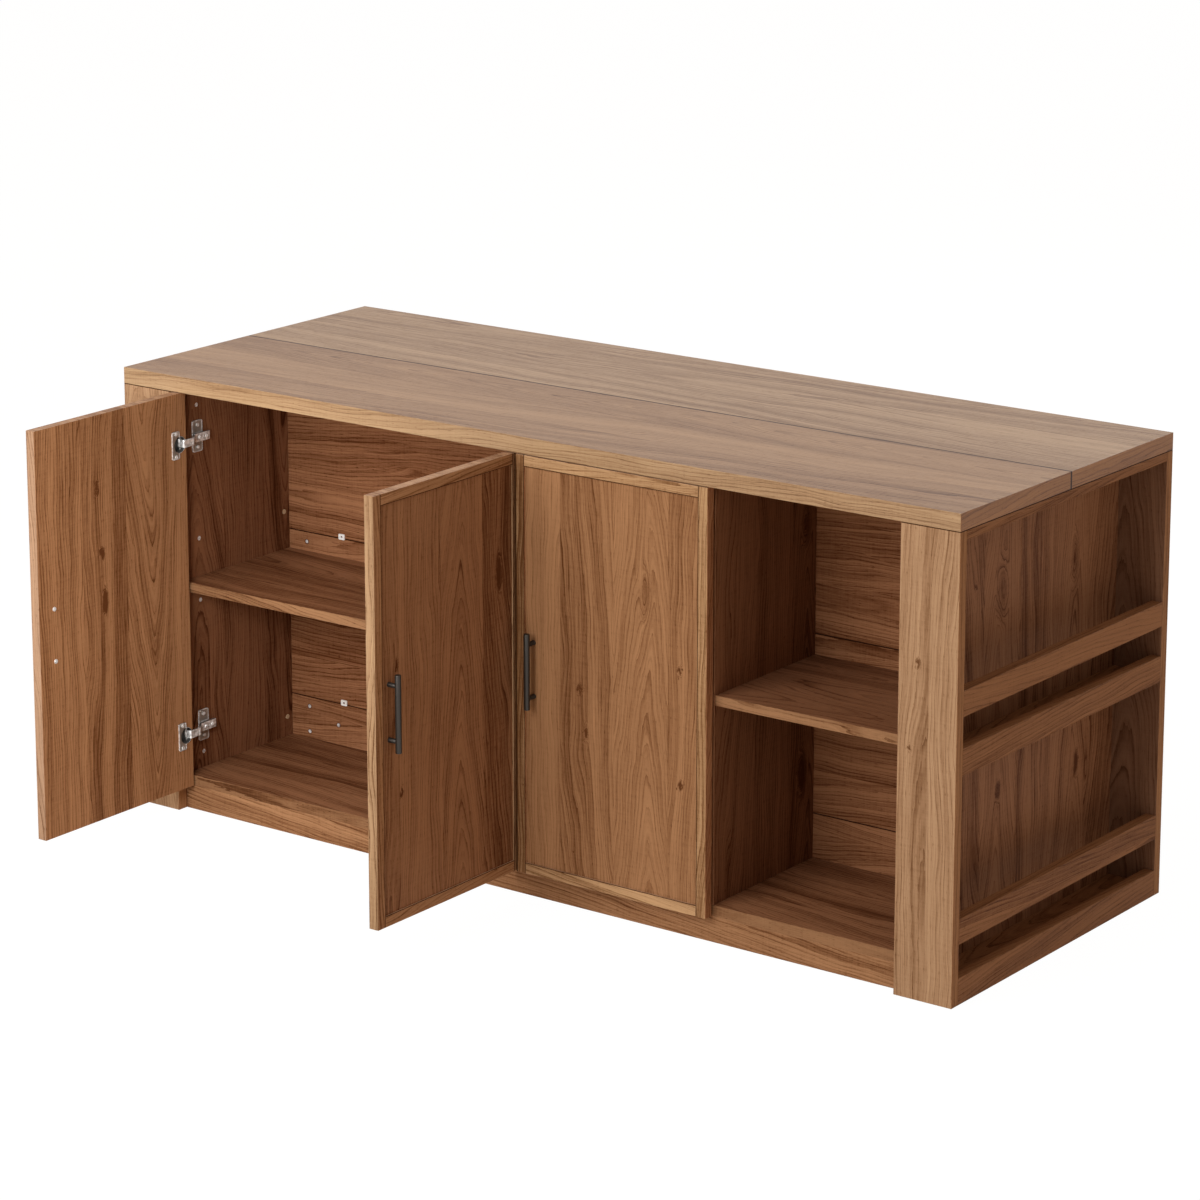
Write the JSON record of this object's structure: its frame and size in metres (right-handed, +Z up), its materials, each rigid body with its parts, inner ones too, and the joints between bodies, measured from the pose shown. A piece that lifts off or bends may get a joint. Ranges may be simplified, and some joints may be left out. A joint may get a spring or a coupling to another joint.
{
  "type": "kitchen island",
  "caption": "Walnut-laminate kitchen island: cupboard bays with hinged doors in front, an open bay, shallow racks across the ends and an open seating side behind.",
  "frame": {"origin": "on the floor, under the middle of the lower back board, which is the spine between the cupboard and the seating side", "axes": "+X to the right along the worktop, +Y from the doors to the seating side, +Z up"},
  "size_m": [1.98, 1.1722, 0.915],
  "materials": {
    "worktop_laminate": "satin walnut laminate, grain along the length",
    "frame_laminate": "satin walnut laminate, upright grain",
    "carcass_laminate": "satin walnut laminate, level grain",
    "door_laminate": "satin walnut laminate, upright grain",
    "door_rail_laminate": "satin walnut laminate, level grain",
    "rack_laminate": "satin walnut laminate, grain along the rail",
    "handle_metal": "matt dark gunmetal",
    "hinge_nickel": "bright nickel plate",
    "screw_steel": "zinc plate",
    "cap_plastic": "brown plastic",
    "clip_plastic": "white plastic",
    "dowel_wood": "plain beech"
  },
  "bodies": {
    "carcass": {"worktop_front": "worktop_laminate", "worktop_rear": "worktop_laminate", "front_left_leg": "frame_laminate", "front_right_leg": "frame_laminate", "rear_left_leg": "frame_laminate", "rear_right_leg": "frame_laminate", "left_end_panel_front": "frame_laminate", "left_end_panel_rear": "frame_laminate", "right_end_panel_front": "frame_laminate", "right_end_panel_rear": "frame_laminate", "left_divider": "frame_laminate", "right_divider": "frame_laminate", "upper_back_board": "carcass_laminate", "middle_back_board": "carcass_laminate", "lower_back_board": "carcass_laminate", "plinth_board": "carcass_laminate", "bottom_panel": "carcass_laminate", "left_bay_shelf": "carcass_laminate", "middle_bay_shelf": "carcass_laminate", "right_bay_shelf": "carcass_laminate", "left_rack_top_board": "rack_laminate", "left_rack_shelves": "rack_laminate", "left_rack_lips": "rack_laminate", "left_rack_guard_rails": "rack_laminate", "right_rack_top_board": "rack_laminate", "right_rack_shelves": "rack_laminate", "right_rack_lips": "rack_laminate", "right_rack_guard_rails": "rack_laminate", "cam_locks": "screw_steel", "cam_bolts": "screw_steel", "cover_caps": "cap_plastic", "back_board_screws": "screw_steel", "seam_clips": "clip_plastic", "dowels": "dowel_wood", "hinge_plates": "hinge_nickel", "hinge_arms": "hinge_nickel", "hinge_pins": "hinge_nickel", "hinge_screws": "screw_steel"},
    "left_door": {"left_door_slab": "door_laminate", "left_door_stiles": "door_laminate", "left_door_rails": "door_rail_laminate", "left_door_handle": "handle_metal", "left_door_handle_screws": "screw_steel", "left_door_hinge_cups": "hinge_nickel", "left_door_cup_screws": "screw_steel"},
    "middle_door": {"middle_door_slab": "door_laminate", "middle_door_stiles": "door_laminate", "middle_door_rails": "door_rail_laminate", "middle_door_handle": "handle_metal", "middle_door_handle_screws": "screw_steel", "middle_door_hinge_cups": "hinge_nickel", "middle_door_cup_screws": "screw_steel"},
    "right_door": {"right_door_slab": "door_laminate", "right_door_stiles": "door_laminate", "right_door_rails": "door_rail_laminate", "right_door_handle": "handle_metal", "right_door_handle_screws": "screw_steel", "right_door_hinge_cups": "hinge_nickel", "right_door_cup_screws": "screw_steel"}
  },
  "joints": [
    {"name": "left_door_hinge", "type": "hinge", "parent": "carcass", "child": "left_door", "pos_m": [-0.853, -0.359, 0.466], "axis": [0, 0, 1], "range_deg": [-5, 90]},
    {"name": "middle_door_hinge", "type": "hinge", "parent": "carcass", "child": "middle_door", "pos_m": [-0.0056, -0.359, 0.466], "axis": [0, 0, 1], "range_deg": [-90, 5]},
    {"name": "right_door_hinge", "type": "hinge", "parent": "carcass", "child": "right_door", "pos_m": [0.4419, -0.359, 0.466], "axis": [0, 0, 1], "range_deg": [0, 95]}
  ]
}
